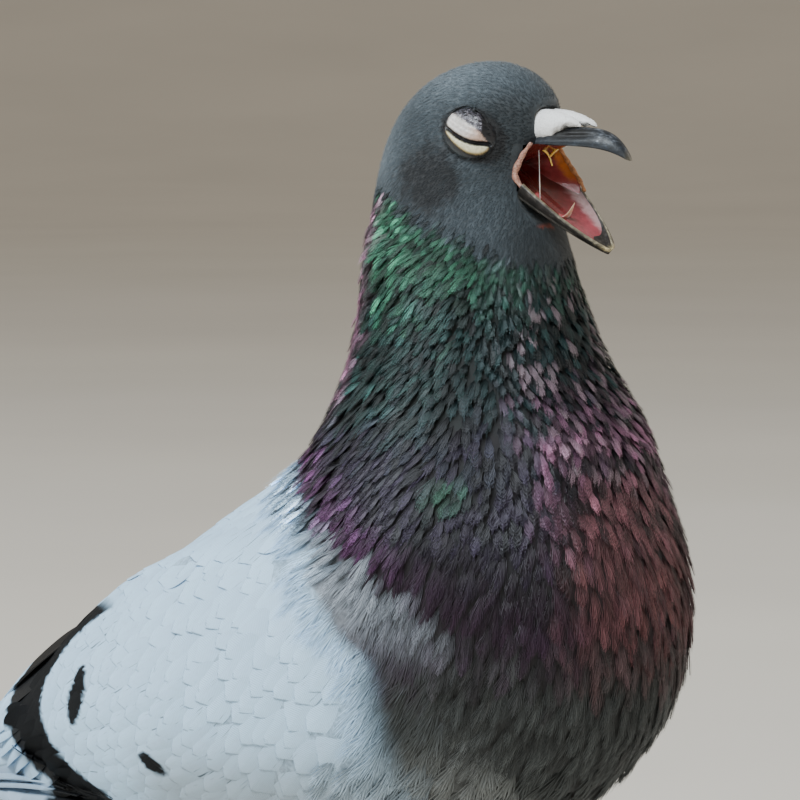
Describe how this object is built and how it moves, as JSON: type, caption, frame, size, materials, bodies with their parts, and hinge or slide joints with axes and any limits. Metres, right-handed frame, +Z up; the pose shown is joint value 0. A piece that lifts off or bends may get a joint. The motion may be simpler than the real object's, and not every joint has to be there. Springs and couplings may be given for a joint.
{
  "type": "pigeon",
  "caption": "Life-size still model of a rock pigeon standing upright, yawning with its eyes closed, with folded wings and closed tail.",
  "frame": {"origin": "bottom centre of the bird's box, on the floor it stands on", "axes": "+Z up, the bird faces -Y and its left side is +X"},
  "size_m": [0.094, 0.2586, 0.22],
  "materials": {
    "head_feathers": "short matt slate-grey feathers",
    "neck_feathers": "glossy dark feathers with a green and purple sheen",
    "breast_feathers": "soft plum feathers with a slight sheen",
    "belly_feathers": "soft matt slate-grey feathers",
    "rump_feathers": "soft pale grey feathers",
    "tail_feathers": "grey tail feathers with a dark end band",
    "wing_coverts": "smooth pale blue-grey wing feathers with black bars",
    "flight_feathers": "stiff grey flight feathers",
    "eyelids": "bare wrinkled eyelid skin",
    "foot_skin": "scaly red foot skin",
    "horn": "glossy blue-black horn",
    "cere": "white powdery skin",
    "mouth_flesh": "moist pink mouth skin"
  },
  "bodies": {
    "root": {"head": "head_feathers", "neck": "neck_feathers", "breast": "breast_feathers", "belly": "belly_feathers", "rump": "rump_feathers", "tail": "tail_feathers", "wing_left": "wing_coverts", "primaries_left": "flight_feathers", "eye_left": "eyelids", "thigh_left": "belly_feathers", "lower_leg_left": "foot_skin", "inner_toe_left": "foot_skin", "inner_toe_claw_left": "horn", "middle_toe_left": "foot_skin", "middle_toe_claw_left": "horn", "outer_toe_left": "foot_skin", "outer_toe_claw_left": "horn", "hind_toe_left": "foot_skin", "hind_toe_claw_left": "horn", "wing_right": "wing_coverts", "primaries_right": "flight_feathers", "eye_right": "eyelids", "thigh_right": "belly_feathers", "lower_leg_right": "foot_skin", "inner_toe_right": "foot_skin", "inner_toe_claw_right": "horn", "middle_toe_right": "foot_skin", "middle_toe_claw_right": "horn", "outer_toe_right": "foot_skin", "outer_toe_claw_right": "horn", "hind_toe_right": "foot_skin", "hind_toe_claw_right": "horn", "upper_bill": "horn", "lower_bill": "horn", "cere": "cere", "tongue": "mouth_flesh"}
  },
  "joints": []
}
